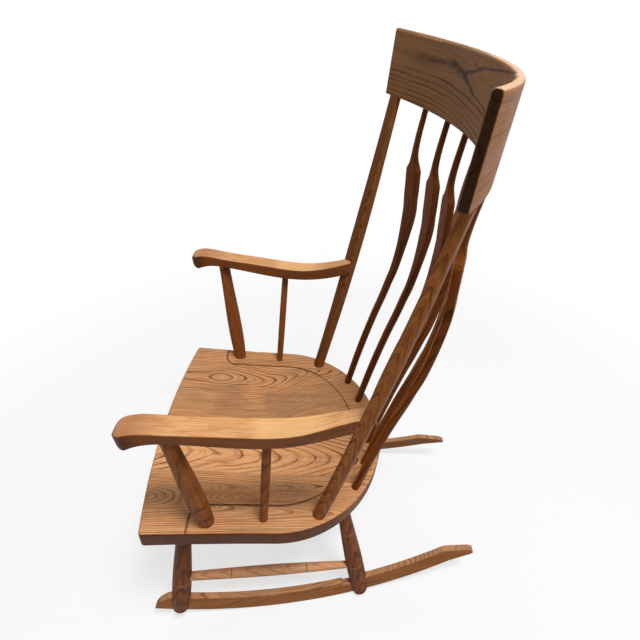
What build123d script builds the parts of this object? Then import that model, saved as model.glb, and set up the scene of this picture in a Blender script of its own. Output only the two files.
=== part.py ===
from build123d import *
import math
import os

# Hickory rocking chair: a plank seat on four turned legs and two sawn rockers, with
# arrow spindles under a bent crest rail and curved arms on turned posts.
# Millimetres. +X is the sitter's left, the front faces -Y, +Z is up. The rockers touch
# the floor at z = 0. Each mirrored pair is drawn on the +X side.

# ------------------------------------------------------------------ driving dimensions
# Rockers: boards sawn to an arc, toed in towards the back and leaning in at the top.
ROCKER_RADIUS = 985.0
ROCKER_TOUCH_Y = 31.0
ROCKER_DEPTH = 42.0
ROCKER_THICKNESS = 14.0
ROCKER_OUTER_X = 232.0
ROCKER_STOCK_X = 150.0
ROCKER_TOE_IN = 0.083
ROCKER_LEAN = math.tan(math.radians(10.4))
ROCKER_FRONT_Y = -291.0
ROCKER_REAR_Y = 474.0
ROCKER_EDGE = 1.2
ROCKER_LONG_EDGES = 6
NOSE_Y = -252.0
NOSE_BULGE = 4.5
TAIL_TOP_Y = 392.0
TAIL_UNDER_Y = 420.0
TAIL_CROWN_Y = 438.0
TAIL_CROWN_DROP = 2.5
TAIL_FLATTENED = 13.0
TAIL_TIP = 10.0
TAIL_ROUNDING = 3.5
NOTCH_DEPTH = 7.0
NOTCH_FRONT_Y = 148.0
NOTCH_BACK_Y = 200.0

# Seat: five edge-glued boards, saddled inside a scribed groove, falling to the back.
SEAT_TOP = 395.0
SEAT_FALL = 0.115
SEAT_THICKNESS = 42.0
SEAT_HALF_WIDTH = 257.0
SEAT_FRONT_HALF_WIDTH = 262.0
SEAT_CORNER_Y = -227.0
SEAT_FRONT_Y = -248.0
SEAT_ARC_Y = 20.0
SEAT_ARC_DEPTH = 228.0
SEAT_CORNER = 8.0
SEAT_EDGE = 5.5
BOARD_JOINTS = (-196.0, -112.0, 8.0, 124.0)

GROOVE_RADIUS = 2.2
GROOVE_HALF_WIDTH = 200.0
GROOVE_DEPTH_BACK = 166.0
GROOVE_TURN = 28.0
GROOVE_FRONT_Y = -145.0

SADDLE_DEPTH = 13.0
SADDLE_RISE = 5.0
SADDLE_HALF_WIDTH = 194.0
SADDLE_BACK = 160.0
SADDLE_FRONT = 214.0

# Legs: bamboo-turned, slotted over the rockers and pegged through them.
LEG_AXES = {
    # name: (y on the rocker, x and y under the seat, place of the side stretcher)
    "front": (-237.0, 177.0, -171.0, 0.325),
    "rear": (191.5, 147.0, 144.5, 0.277),
}
LEG_CLEAR = {"front": 8.0, "rear": 1.0}
LEG_OVERRUN = 24.0
LEG_RADII = ((0.0, 19.0), (0.31, 20.8), (0.65, 16.5), (1.0, 12.5))
LEG_SCRIBES = ((0.31, 20.8), (0.65, 16.5))
LEG_PEG_DEPTH = 26.0
ROCKER_PIN_RADIUS = 4.0
ROCKER_PIN_HEIGHT = {"front": 22.0, "rear": 17.0}
ROCKER_PIN_SPARE = 1.0
PIN_CLEARANCE = 0.05
CROSS_STRETCHER_PLACE = 0.66

# Stretchers: swelling in the middle, with two scribed rings.
SIDE_STRETCHER_RADII = ((0.0, 9.5), (0.27, 11.4), (0.5, 12.2), (0.71, 11.0), (1.0, 7.8))
SIDE_STRETCHER_SCRIBES = ((0.27, 11.4), (0.71, 11.0))
CROSS_STRETCHER_RADII = ((0.0, 8.0), (0.3, 11.2), (0.5, 12.2), (0.7, 11.2), (1.0, 8.0))
CROSS_STRETCHER_SCRIBES = ((0.3, 11.2), (0.7, 11.2))
SCRIBE = 1.0

# Crest rail: one bent board of constant section, leaning back.
CREST_RADIUS = 476.0
CREST_HALF_ANGLE = 36.5
CREST_TILT = 7.0
CREST_BOTTOM_Y = 345.5
CREST_BOTTOM_Z = 1029.5
CREST_HEIGHT = 108.5
CREST_THICK = 13.0
CREST_THIN = 11.5
CREST_TOP_ROUNDING = 4.5
CREST_EDGE = 1.2
CREST_END_EDGE = 0.8

# Back: bent posts and arrow spindles between the seat and the crest.
POST_FOOT = (216.0, 101.0)
POST_HEAD_X = 268.0
POST_BOW = 5.5
POST_FOOT_RADIUS = 13.0
POST_TENON_RADIUS = 5.0
POST_TENON_LENGTH = 30.0
POST_TENON_START = 0.99
# (place along the post, width of the front face, depth front to back, corner radius)
POST_SECTIONS = (
    (0.02, 26.0, 26.0, 12.5),
    (0.14, 26.5, 25.0, 11.0),
    (0.32, 26.5, 22.0, 6.0),
    (0.52, 26.0, 20.5, 3.5),
    (0.78, 23.5, 17.0, 3.0),
    (1.0, 21.5, 12.6, 3.0),
)

# (x and y of the foot, x of the head, bow towards the back)
SPINDLES = ((31.0, 215.0, 37.0, 32.0), (93.0, 201.0, 111.0, 32.0), (155.0, 177.0, 185.0, 33.0))
# (place along the spindle, share of its bow): straight below, bent at the middle, and
# turned up again where the neck enters the crest
SPINDLE_BEND = (
    (0.15, 0.18), (0.3, 0.46), (0.45, 0.84), (0.56, 1.0), (0.66, 0.93), (0.76, 0.62), (0.84, 0.3), (0.92, 0.04),
)
SPINDLE_FOOT_RADIUS = 8.0
SPINDLE_TENON_RADIUS = 4.5
SPINDLE_TENON_LENGTH = 24.0
SPINDLE_SUNK = 1.5
SPINDLE_BLADE_SECTIONS = (
    (0.02, 16.0, 16.0, 7.4),
    (0.16, 17.6, 16.2, 7.4),
    (0.3, 16.8, 15.6, 6.8),
    (0.45, 16.2, 14.8, 5.5),
    (0.55, 17.8, 14.0, 3.6),
    (0.63, 25.0, 13.8, 2.4),
    (0.7, 33.0, 13.6, 1.9),
    (0.77, 35.5, 13.5, 1.8),
    (0.834, 36.0, 13.4, 1.8),
)
SPINDLE_NECK_SECTIONS = (
    (0.834, 36.0, 13.4, 1.8),
    (0.858, 21.0, 12.4, 2.8),
    (0.884, 12.0, 11.4, 4.4),
    (0.93, 11.0, 11.0, 4.9),
    (1.0, 10.2, 10.2, 4.8),
)

# Arms: sawn to a curve in both views, coped and tenoned to the posts.
ARM_OUTER = (
    (274.5, -168.0), (270.5, -116.0), (266.5, -42.0), (262.5, 32.0), (258.0, 76.0), (250.5, 122.0), (245.5, 184.0),
)
ARM_INNER = (
    (234.5, -168.0), (231.0, -116.0), (227.5, -42.0), (222.5, 32.0), (218.5, 106.0), (219.5, 184.0),
)
ARM_NOSE = (-184.0, 698.0)
ARM_REAR_Y = 184.0
ARM_TOP = ((-170.0, 712.0), (-148.0, 714.0), (-116.0, 708.0), (-42.0, 694.5), (32.0, 682.0),
           (74.0, 678.5), (114.0, 682.0), (184.0, 697.0))
ARM_UNDER = ((184.0, 668.5), (119.0, 655.5), (81.0, 653.0), (22.0, 657.0), (-41.0, 669.5),
             (-99.0, 683.0), (-134.0, 688.0), (-168.0, 681.0))
ARM_EDGE = 2.4
ARM_STOCK = 80.0
ARM_TENON_RADIUS = 7.0
ARM_TENON_START = (237.0, 160.0, 680.5)
ARM_TENON_END = (241.5, 198.0, 688.0)

ARM_POST_FOOT = (234.0, -110.0)
ARM_POST_HEAD = (255.0, -114.0, 684.0)
ARM_POST_RADII = ((0.0, 14.0), (0.3, 17.0), (0.65, 14.5), (1.0, 12.0))
ARM_SPINDLE_FOOT = (228.0, -5.0)
ARM_SPINDLE_HEAD = (244.0, 30.0, 656.0)
ARM_SPINDLE_RADII = ((0.0, 7.6), (0.3, 8.0), (0.7, 7.8), (1.0, 7.2))
SEAT_PEG_DEPTH = 24.0
BENT_START = 0.02
BENT_PEG_OVERLAP = 14.0
ARM_PEG_DEPTH = 14.0

# The rockers' mid-length is carried to the origin.
CENTRE_Y = (ROCKER_FRONT_Y + ROCKER_REAR_Y) / 2


# ------------------------------------------------------------------ places
def seat_z(y):
    """Height of the seat's top plane at a distance y."""
    return SEAT_TOP - SEAT_FALL * y


def rocker_z(y, depth=0.0):
    """Height of the rocker's underside arc, or of a line parallel to it and above it."""
    return ROCKER_RADIUS - math.sqrt((ROCKER_RADIUS - depth) ** 2 - (y - ROCKER_TOUCH_Y) ** 2)


def rocker_mid_x(y, z):
    """The x of the middle of the left rocker's thickness."""
    normal = math.sqrt(1 + ROCKER_TOE_IN**2 + ROCKER_LEAN**2)
    return ROCKER_OUTER_X - ROCKER_TOE_IN * y - ROCKER_LEAN * z - ROCKER_THICKNESS / 2 * normal


def crest_plane():
    """Plane of the crest's lower edge, at the centre of its bend."""
    tilt = math.radians(CREST_TILT)
    return Plane(
        origin=(
            0,
            CREST_BOTTOM_Y - CREST_RADIUS * math.cos(tilt),
            CREST_BOTTOM_Z + CREST_RADIUS * math.sin(tilt),
        ),
        x_dir=(1, 0, 0),
        z_dir=(0, math.sin(tilt), math.cos(tilt)),
    )


def crest_point(x):
    """Middle of the crest's lower edge at a distance x."""
    radius = CREST_RADIUS + CREST_THICK / 2
    return crest_plane().from_local_coords(Vector(x, math.sqrt(radius**2 - x**2), 0))


def crest_facing(x):
    """Direction along the crest, and so across a spindle's blade, at a distance x."""
    radius = CREST_RADIUS + CREST_THICK / 2
    return Vector(math.sqrt(radius**2 - x**2), -x, 0).normalized()


def mirrored(part):
    """The same part on the other side of the chair."""
    return mirror(part, about=Plane.YZ)


# ------------------------------------------------------------------ shapes
def turned(start, end, radii, scribes=(), start_peg=0.0, end_peg=0.0):
    """A turned stick from start to end, with plain pegs past its ends and scribed rings."""
    axis = Vector(*end) - Vector(*start)
    length = axis.length
    points = [(radius, 0, place * length) for place, radius in radii]
    bottom = -start_peg
    top = length + end_peg
    corners = [points[-1], (points[-1][0], 0, top), (0, 0, top), (0, 0, bottom), (points[0][0], 0, bottom), points[0]]
    sides = [Line(a, b) for a, b in zip(corners, corners[1:]) if a != b]
    profile = make_face([Spline(points), *sides])
    for place, radius in scribes:
        profile -= Plane.XZ * Pos(radius + SCRIBE / 3, place * length) * Circle(SCRIBE)
    return Plane(origin=start, z_dir=axis) * revolve(profile, Axis.Z)


def bent(path, facing, *stages):
    """A bent stick: rounded-rectangle sections along a path, each stage its own loft."""
    stick = None
    for sections in stages:
        faces = []
        for place, width, depth, corner in sections:
            plane = Plane(origin=path @ place, x_dir=facing, z_dir=path % place)
            faces.append(plane * RectangleRounded(width, depth, corner))
        piece = loft(faces)
        stick = piece if stick is None else stick + piece
    return stick


def dowel(start, direction, radius, length):
    """A round peg from a point along a direction."""
    standing = (Align.CENTER, Align.CENTER, Align.MIN)
    return Plane(origin=start, z_dir=direction) * Cylinder(radius, length, align=standing)


def seat_tenon(path, radius):
    """The round end of a bent stick that goes down into the seat."""
    return dowel(path @ BENT_START, (path % BENT_START) * -1, radius, SEAT_PEG_DEPTH + BENT_PEG_OVERLAP)


# ------------------------------------------------------------------ rockers and legs
def rocker():
    """Left rocker: a flat board sawn to the arc, with a pointed nose and a rounded tail."""
    tail_low = (ROCKER_REAR_Y - TAIL_ROUNDING, rocker_z(ROCKER_REAR_Y) - TAIL_FLATTENED)
    tail_end = (ROCKER_REAR_Y, tail_low[1] + TAIL_TIP / 2)
    tail_high = (ROCKER_REAR_Y - TAIL_ROUNDING, tail_low[1] + TAIL_TIP)
    nose = (ROCKER_FRONT_Y, rocker_z(ROCKER_FRONT_Y))
    nose_top = (NOSE_Y, rocker_z(NOSE_Y, ROCKER_DEPTH))
    nose_middle = ((NOSE_Y + ROCKER_FRONT_Y) / 2 - NOSE_BULGE, (nose[1] + nose_top[1]) / 2 + NOSE_BULGE)
    shoulder = (TAIL_TOP_Y, rocker_z(TAIL_TOP_Y, ROCKER_DEPTH))
    under = ThreePointArc(nose, (ROCKER_TOUCH_Y, 0), (TAIL_UNDER_Y, rocker_z(TAIL_UNDER_Y)))
    tail_under = Line(under @ 1, tail_low)
    tail_round = ThreePointArc(tail_low, tail_end, tail_high)
    over = ThreePointArc(shoulder, (ROCKER_TOUCH_Y, ROCKER_DEPTH), nose_top)
    crown = (TAIL_CROWN_Y, shoulder[1] - TAIL_CROWN_DROP)
    tail_top = Spline(tail_high, crown, shoulder, tangents=((-0.8, 0.9), over % 0))
    nose_curve = ThreePointArc(nose_top, nose_middle, nose)
    profile = make_face([under, tail_under, tail_round, tail_top, over, nose_curve])
    notch_z = rocker_z(NOTCH_FRONT_Y, ROCKER_DEPTH - NOTCH_DEPTH)
    profile -= Pos((NOTCH_FRONT_Y + NOTCH_BACK_Y) / 2, notch_z + 10) * Rectangle(NOTCH_BACK_Y - NOTCH_FRONT_Y, 20)
    board = Plane((ROCKER_OUTER_X, 0, 0), x_dir=(0, 1, 0), z_dir=(1, ROCKER_TOE_IN, ROCKER_LEAN))
    slab = extrude(board * Rectangle(2 * ROCKER_RADIUS, 2 * ROCKER_RADIUS), -ROCKER_THICKNESS)
    sawn = extrude(Plane.YZ.offset(ROCKER_STOCK_X) * profile, ROCKER_STOCK_X) & slab
    corner = (rocker_mid_x(NOTCH_FRONT_Y, ROCKER_DEPTH), NOTCH_FRONT_Y, rocker_z(NOTCH_FRONT_Y, ROCKER_DEPTH))
    shoulder_edge = sawn.edges().filter_by(Axis.X).sort_by_distance(corner)[0]
    return fillet(shoulder_edge, NOTCH_DEPTH - 1)


def eased(board):
    """The rocker with its long arrises taken off above and below."""
    longest = board.edges().sort_by(SortBy.LENGTH)[-ROCKER_LONG_EDGES:]
    return fillet(longest, ROCKER_EDGE)


def leg_axis(name):
    """Foot and head points of a left leg."""
    foot_y, head_x, head_y, _ = LEG_AXES[name]
    foot_z = rocker_z(foot_y)
    head_z = seat_z(head_y) - SEAT_THICKNESS
    return (rocker_mid_x(foot_y, foot_z), foot_y, foot_z), (head_x, head_y, head_z)


def along(axis, place):
    """A point along a leg, given as (foot, head)."""
    foot, head = (Vector(*point) for point in axis)
    return foot + (head - foot) * place


def leg(name):
    """Left leg: runs past the foot and is trimmed a little above the rocker's underside."""
    foot, head = leg_axis(name)
    stick = turned(foot, head, LEG_RADII, LEG_SCRIBES, start_peg=LEG_OVERRUN, end_peg=LEG_PEG_DEPTH)
    drum = Cylinder(ROCKER_RADIUS - LEG_CLEAR[name], 4 * ROCKER_OUTER_X)
    return stick & (Pos(0, ROCKER_TOUCH_Y, ROCKER_RADIUS) * Rot(0, 90, 0) * drum)


def rocker_pin(name, radius):
    """Dowel that pegs a left leg to its rocker, or the hole for it."""
    axis = leg_axis(name)
    centre = along(axis, ROCKER_PIN_HEIGHT[name] / (Vector(*axis[1]) - Vector(*axis[0])).length)
    plane = Plane(origin=centre, z_dir=(1, ROCKER_TOE_IN, ROCKER_LEAN))
    return plane * Cylinder(radius, 2 * LEG_RADII[0][1] + ROCKER_PIN_SPARE)


def stretcher(start, end, radii, scribes, inset):
    """A stretcher between the axes of two legs, stopping short of each axis."""
    axis = (end - start).normalized()
    start = start + axis * inset
    end = end - axis * inset
    return turned(tuple(start), tuple(end), radii, scribes)


# ------------------------------------------------------------------ seat
def seat_plane():
    return Plane(origin=(0, 0, SEAT_TOP), x_dir=(1, 0, 0), z_dir=(0, SEAT_FALL, 1))


def seat_blank():
    """The seat's plank in its own plane: straight sides, a bowed front and a rounded back."""
    right_front = (SEAT_FRONT_HALF_WIDTH, SEAT_CORNER_Y)
    left_front = (-SEAT_FRONT_HALF_WIDTH, SEAT_CORNER_Y)
    right_side = TangentArc((SEAT_HALF_WIDTH, SEAT_ARC_Y), right_front, tangent=(0, -1))
    left_side = TangentArc((-SEAT_HALF_WIDTH, SEAT_ARC_Y), left_front, tangent=(0, -1))
    front = ThreePointArc(left_front, (0, SEAT_FRONT_Y), right_front)
    back = EllipticalCenterArc(
        (0, SEAT_ARC_Y), SEAT_HALF_WIDTH, SEAT_ARC_DEPTH, start_angle=0, arc_size=180
    )
    outline = make_face([right_side, front, left_side, back])
    outline = fillet(outline.vertices().group_by(Axis.Y)[0], SEAT_CORNER)
    plank = extrude(outline, -SEAT_THICKNESS)
    rims = plank.faces().filter_by(Axis.Z).edges()
    return fillet(rims, SEAT_EDGE)


def seat_groove():
    """A half-round groove: in from each side, then round the back of the saddle."""
    turn_x = GROOVE_HALF_WIDTH + GROOVE_TURN
    centre_y = GROOVE_FRONT_Y + GROOVE_TURN
    side = Line((SEAT_FRONT_HALF_WIDTH + 10, GROOVE_FRONT_Y), (turn_x, GROOVE_FRONT_Y))
    corner = CenterArc((turn_x, centre_y), GROOVE_TURN, 270, -90)
    run = Line(corner @ 1, (GROOVE_HALF_WIDTH, SEAT_ARC_Y))
    back = EllipticalCenterArc(
        (0, SEAT_ARC_Y), GROOVE_HALF_WIDTH, GROOVE_DEPTH_BACK, start_angle=0, arc_size=90
    )
    path = Wire([side, corner, run, back])
    section = Plane(origin=path @ 0, z_dir=path % 0) * Circle(GROOVE_RADIUS)
    half = sweep(section, path)
    return half + mirrored(half)


def seat_saddle():
    """The hollow worked in the seat: half an ellipsoid behind and a longer half in front."""
    height = SADDLE_DEPTH + SADDLE_RISE
    spread = 1 / math.sqrt(1 - (SADDLE_RISE / height) ** 2)
    hollow = None
    for reach, keep in ((SADDLE_BACK, Keep.TOP), (SADDLE_FRONT, Keep.BOTTOM)):
        ball = scale(Sphere(1), by=(SADDLE_HALF_WIDTH * spread, reach * spread, height))
        half = split(ball, bisect_by=Plane.XZ.offset(0), keep=keep)
        hollow = half if hollow is None else hollow + half
    return Pos(0, SEAT_ARC_Y, SADDLE_RISE) * hollow


def seat_boards(sunk):
    """The saddled plank cut at its glue lines, with sockets for every piece sunk in it."""
    plank = seat_plane() * (seat_blank() - seat_saddle() - seat_groove())
    for piece in sunk:
        plank -= piece
    reach = 2 * SEAT_FRONT_HALF_WIDTH
    edges = (-reach, *BOARD_JOINTS, reach)
    boards = []
    for low, high in zip(edges, edges[1:]):
        strip = Pos((low + high) / 2, 0, SEAT_TOP) * Box(high - low, 2 * reach, reach)
        boards.append(plank & strip)
    return boards


# ------------------------------------------------------------------ back
def crest_blank():
    """Crest rail without its sockets: bullnosed above, thinner towards the top."""
    front = CREST_RADIUS
    corners = [(front, 0), (front, CREST_HEIGHT), (front + CREST_THIN, CREST_HEIGHT), (front + CREST_THICK, 0)]
    profile = make_face(Polyline(*corners, close=True))
    profile = fillet(profile.vertices().group_by(Axis.Y)[-1], CREST_TOP_ROUNDING)
    profile = fillet(profile.vertices().group_by(Axis.Y)[0], CREST_EDGE)
    section = Rot(0, 0, 90 - CREST_HALF_ANGLE) * (Plane.XZ * profile)
    board = revolve(section, Axis.Z, 2 * CREST_HALF_ANGLE)
    ends = board.faces().filter_by(GeomType.PLANE).sort_by(Axis.X)
    board = chamfer(ends[0].edges() + ends[-1].edges(), CREST_END_EDGE)
    return crest_plane() * board


def back_post():
    """Left back post: round in the seat, flattened where the arm and crest meet it."""
    foot = Vector(*POST_FOOT, seat_z(POST_FOOT[1]))
    head = crest_point(POST_HEAD_X)
    middle = (foot + head) * 0.5 + Vector(0, POST_BOW, 0)
    path = ThreePointArc(foot, middle, head)
    post = bent(path, crest_facing(POST_HEAD_X), POST_SECTIONS)
    post += seat_tenon(path, POST_FOOT_RADIUS)
    head_tenon = dowel(path @ POST_TENON_START, crest_plane().z_dir, POST_TENON_RADIUS, POST_TENON_LENGTH)
    return post + head_tenon


def back_spindle(foot_x, foot_y, head_x, bow):
    """Arrow spindle: round below, flaring to a flat blade, then shouldered to a thin neck."""
    foot = Vector(foot_x, foot_y, seat_z(foot_y))
    up = crest_plane().z_dir
    head = crest_point(head_x) + up * SPINDLE_SUNK
    points = [foot + (head - foot) * place + Vector(0, bow * share, 0) for place, share in SPINDLE_BEND]
    path = Spline([foot, *points, head])
    spindle = bent(path, crest_facing(head_x), SPINDLE_BLADE_SECTIONS, SPINDLE_NECK_SECTIONS)
    spindle += seat_tenon(path, SPINDLE_FOOT_RADIUS)
    return spindle + dowel(head - up, up, SPINDLE_TENON_RADIUS, SPINDLE_TENON_LENGTH)


# ------------------------------------------------------------------ arms
def arm_blank():
    """Left arm without its sockets: a plan outline and a side profile sawn from one block."""
    outer = Spline([(x, y, 0) for x, y in ARM_OUTER])
    inner = Spline([(x, y, 0) for x, y in ARM_INNER])
    nose_x = (ARM_OUTER[0][0] + ARM_INNER[0][0]) / 2
    nose = ThreePointArc(inner @ 0, (nose_x, ARM_NOSE[0], 0), outer @ 0)
    plan = make_face([nose, outer, Line(outer @ 1, inner @ 1), inner])
    top = Spline([(y, z, 0) for y, z in ARM_TOP])
    under = Spline([(y, z, 0) for y, z in ARM_UNDER])
    front = ThreePointArc(under @ 1, (ARM_NOSE[0] - 1, ARM_NOSE[1], 0), top @ 0)
    side = make_face([front, top, Line(top @ 1, under @ 0), under])
    block = extrude(Pos(0, 0, ARM_NOSE[1] - ARM_STOCK) * plan, 2 * ARM_STOCK)
    block = block & extrude(Plane.YZ.offset(nose_x - ARM_STOCK) * side, 2 * ARM_STOCK)
    arrises = block.edges().filter_by(lambda edge: edge.center().Y < ARM_REAR_Y - ARM_EDGE)
    return fillet(arrises, ARM_EDGE)


def arm_tenon():
    start = Vector(*ARM_TENON_START)
    reach = Vector(*ARM_TENON_END) - start
    return dowel(start, reach, ARM_TENON_RADIUS, reach.length)


def arm_post():
    foot = (*ARM_POST_FOOT, seat_z(ARM_POST_FOOT[1]))
    return turned(foot, ARM_POST_HEAD, ARM_POST_RADII, start_peg=SEAT_PEG_DEPTH, end_peg=ARM_PEG_DEPTH)


def arm_spindle():
    foot = (*ARM_SPINDLE_FOOT, seat_z(ARM_SPINDLE_FOOT[1]))
    return turned(foot, ARM_SPINDLE_HEAD, ARM_SPINDLE_RADII, start_peg=SEAT_PEG_DEPTH, end_peg=ARM_PEG_DEPTH)


# ------------------------------------------------------------------ assembly
def build():
    """Every named piece of the chair, with each socket cut by the piece that fills it."""
    parts = {}
    left_rocker = rocker()
    front_axis = leg_axis("front")
    rear_axis = leg_axis("rear")

    side_stretcher = stretcher(
        along(front_axis, LEG_AXES["front"][3]), along(rear_axis, LEG_AXES["rear"][3]),
        SIDE_STRETCHER_RADII, SIDE_STRETCHER_SCRIBES, 4.0,
    )
    holes = []
    legs = []
    for name, axis in (("front", front_axis), ("rear", rear_axis)):
        pin = rocker_pin(name, ROCKER_PIN_RADIUS)
        hole = rocker_pin(name, ROCKER_PIN_RADIUS + PIN_CLEARANCE)
        left = along(axis, CROSS_STRETCHER_PLACE)
        right = Vector(-left.X, left.Y, left.Z)
        cross = stretcher(left, right, CROSS_STRETCHER_RADII, CROSS_STRETCHER_SCRIBES, 3.0)
        body = leg(name)
        legs.append(body)
        body = body - left_rocker - side_stretcher - cross - hole
        holes.append(hole)
        parts[f"{name}_left_leg"] = body
        parts[f"{name}_right_leg"] = mirrored(body)
        parts[f"{name}_cross_stretcher"] = cross
        parts[f"{name}_left_rocker_pin"] = pin
        parts[f"{name}_right_rocker_pin"] = mirrored(pin)
    left_rocker = eased(left_rocker)
    for hole in holes:
        left_rocker = left_rocker - hole
    parts["left_rocker"] = left_rocker
    parts["right_rocker"] = mirrored(left_rocker)
    parts["left_side_stretcher"] = side_stretcher
    parts["right_side_stretcher"] = mirrored(side_stretcher)

    post = back_post()
    spindles = [back_spindle(*numbers) for numbers in SPINDLES]
    front_post = arm_post()
    mid_spindle = arm_spindle()
    crest = crest_blank()
    for piece in (post, *spindles):
        crest = crest - piece - mirrored(piece)
    parts["crest_rail"] = crest

    arm = arm_blank() - front_post - mid_spindle - post + arm_tenon()
    pierced = post - arm_tenon()
    pairs = {"arm": arm, "arm_post": front_post, "arm_spindle": mid_spindle, "back_post": pierced}
    for name, piece in pairs.items():
        parts[f"left_{name}"] = piece
        parts[f"right_{name}"] = mirrored(piece)
    for number, piece in enumerate(spindles):
        parts[f"back_spindle_{number + 4}"] = piece
        parts[f"back_spindle_{3 - number}"] = mirrored(piece)

    sunk = []
    for piece in (*legs, post, *spindles, front_post, mid_spindle):
        sunk += [piece, mirrored(piece)]
    for number, board in enumerate(seat_boards(sunk), start=1):
        parts[f"seat_board_{number}"] = board
    return parts


os.makedirs("parts", exist_ok=True)
for node, shape in build().items():
    export_step(Pos(0, -CENTRE_Y, 0) * shape, f"parts/{node}.step")
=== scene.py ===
"""Finishes, arrow spindles, studio and camera for the hickory rocking chair, round its CAD model."""

import logging
import math
from dataclasses import dataclass
from enum import Enum
from typing import Any, Callable

import bpy
from mathutils import Matrix, Vector


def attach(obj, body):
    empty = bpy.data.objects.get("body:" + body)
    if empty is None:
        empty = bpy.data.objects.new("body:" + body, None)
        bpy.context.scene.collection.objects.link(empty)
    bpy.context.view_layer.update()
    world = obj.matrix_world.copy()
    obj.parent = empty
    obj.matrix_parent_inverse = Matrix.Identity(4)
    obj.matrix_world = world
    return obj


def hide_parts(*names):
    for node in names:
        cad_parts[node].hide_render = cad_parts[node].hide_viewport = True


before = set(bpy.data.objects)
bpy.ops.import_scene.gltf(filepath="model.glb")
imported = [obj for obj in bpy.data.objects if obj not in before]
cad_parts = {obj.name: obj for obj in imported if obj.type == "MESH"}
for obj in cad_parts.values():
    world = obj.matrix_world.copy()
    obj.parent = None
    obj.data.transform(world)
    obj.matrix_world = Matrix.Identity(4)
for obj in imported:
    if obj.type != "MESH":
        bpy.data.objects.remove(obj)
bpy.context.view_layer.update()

LOG = logging.getLogger("rocking_chair")
MM = 0.001
WHITE = (1.0, 1.0, 1.0, 1.0)

Colour = tuple[float, float, float]
Point = tuple[float, float, float]
Pair = tuple[float, float]
Ends = tuple[Point, Point]
Knot = tuple[float, float] | tuple[float, float, str]
Curve = tuple[Knot, ...]
Socket = bpy.types.NodeSocket
SOFT, CRISP = "AUTO_CLAMPED", "VECTOR"


# ---- shader maths
def linear(colour: Colour) -> tuple[float, float, float, float]:
    """Turn a display colour of 0 to 255 into the linear colour that a socket holds, by the sRGB curve.

    Args:
        colour: Red, green and blue from 0 to 255.

    Returns:
        Linear red, green, blue and an alpha of 1.
    """
    parts = []
    for part in colour:
        share = part / 255
        parts.append(share / 12.92 if share <= 0.04045 else ((share + 0.055) / 1.055) ** 2.4)
    return (*parts, 1.0)


def operator(operation: str, first: bool = True) -> Callable[..., "Term"]:
    """Make a method of Term that adds a Math node.

    Args:
        operation: The node's operation.
        first: Whether the term is the node's first input. It is the last in a reflected operator.

    Returns:
        The method, which takes the node's other inputs as numbers or terms.
    """

    def method(self: "Term", *others: Any) -> "Term":
        """Add the node."""
        return self.graph.maths(operation, *((self, *others) if first else (*others, self)))

    return method


class Wired:
    """What a socket of a graph gives."""

    def __init__(self, graph: "Graph", socket: Socket) -> None:
        """Wrap the socket."""
        self.graph = graph
        self.socket = socket


class Term(Wired):
    """A number that varies over a surface, with Python's operators for its Math nodes."""

    __add__, __radd__ = operator("ADD"), operator("ADD", first=False)
    __sub__, __rsub__ = operator("SUBTRACT"), operator("SUBTRACT", first=False)
    __mul__, __rmul__ = operator("MULTIPLY"), operator("MULTIPLY", first=False)
    __truediv__, __rtruediv__ = operator("DIVIDE"), operator("DIVIDE", first=False)
    __pow__, root, size = operator("POWER"), operator("SQRT"), operator("ABSOLUTE")
    least, most, fraction = operator("MINIMUM"), operator("MAXIMUM"), operator("FRACT")

    def rise(self, low: float, high: float) -> "Term":
        """Go smoothly from 0 at low to 1 at high.

        Args:
            low: Where the step starts.
            high: Where it ends. A high below low makes a falling step.

        Returns:
            A mask from 0 to 1.
        """
        if high < low:
            return 1 - self.rise(high, low)
        sockets = {"Value": self, "From Min": low, "From Max": high}
        node = self.graph.node("ShaderNodeMapRange", {"interpolation_type": "SMOOTHSTEP"}, sockets)
        return Term(self.graph, node.outputs[0])

    def band(self, low: float, high: float, soft: float) -> "Term":
        """A mask that is 1 between two values, with soft edges."""
        return self.rise(low - soft, low + soft) * self.rise(high + soft, high - soft)

    def span(self, low: float, high: float) -> "Term":
        """Turn a mask from 0 to 1 into a level from low to high."""
        return low + self * (high - low)

    def swing(self, amount: float) -> "Term":
        """Turn noise centred on 0.5 into a change either way."""
        return (self - 0.5) * amount


class Arrow(Wired):
    """A vector that varies over a surface."""

    def outputs(self, operation: str, sockets: dict[Any, Any]) -> Any:
        """Add a Vector Math node that takes this vector first, and give its outputs."""
        return self.graph.node("ShaderNodeVectorMath", {"operation": operation}, {0: self, **sockets}).outputs

    def dot(self, other: Any) -> Term:
        """Length along another direction."""
        return Term(self.graph, self.outputs("DOT_PRODUCT", {1: other})["Value"])

    def __sub__(self, other: Any) -> "Arrow":
        """Distance from a point."""
        return Arrow(self.graph, self.outputs("SUBTRACT", {1: other})[0])

    def __add__(self, other: "Arrow") -> "Arrow":
        """Two vectors together."""
        return Arrow(self.graph, self.outputs("ADD", {1: other})[0])

    def __mul__(self, share: Any) -> "Arrow":
        """The same direction, longer or shorter."""
        return Arrow(self.graph, self.outputs("SCALE", {"Scale": share})[0])

    def cross(self, other: "Arrow") -> "Arrow":
        """The direction square to both."""
        return Arrow(self.graph, self.outputs("CROSS_PRODUCT", {1: other})[0])

    def unit(self) -> "Arrow":
        """The same direction with a length of 1."""
        return Arrow(self.graph, self.outputs("NORMALIZE", {})[0])


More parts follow.
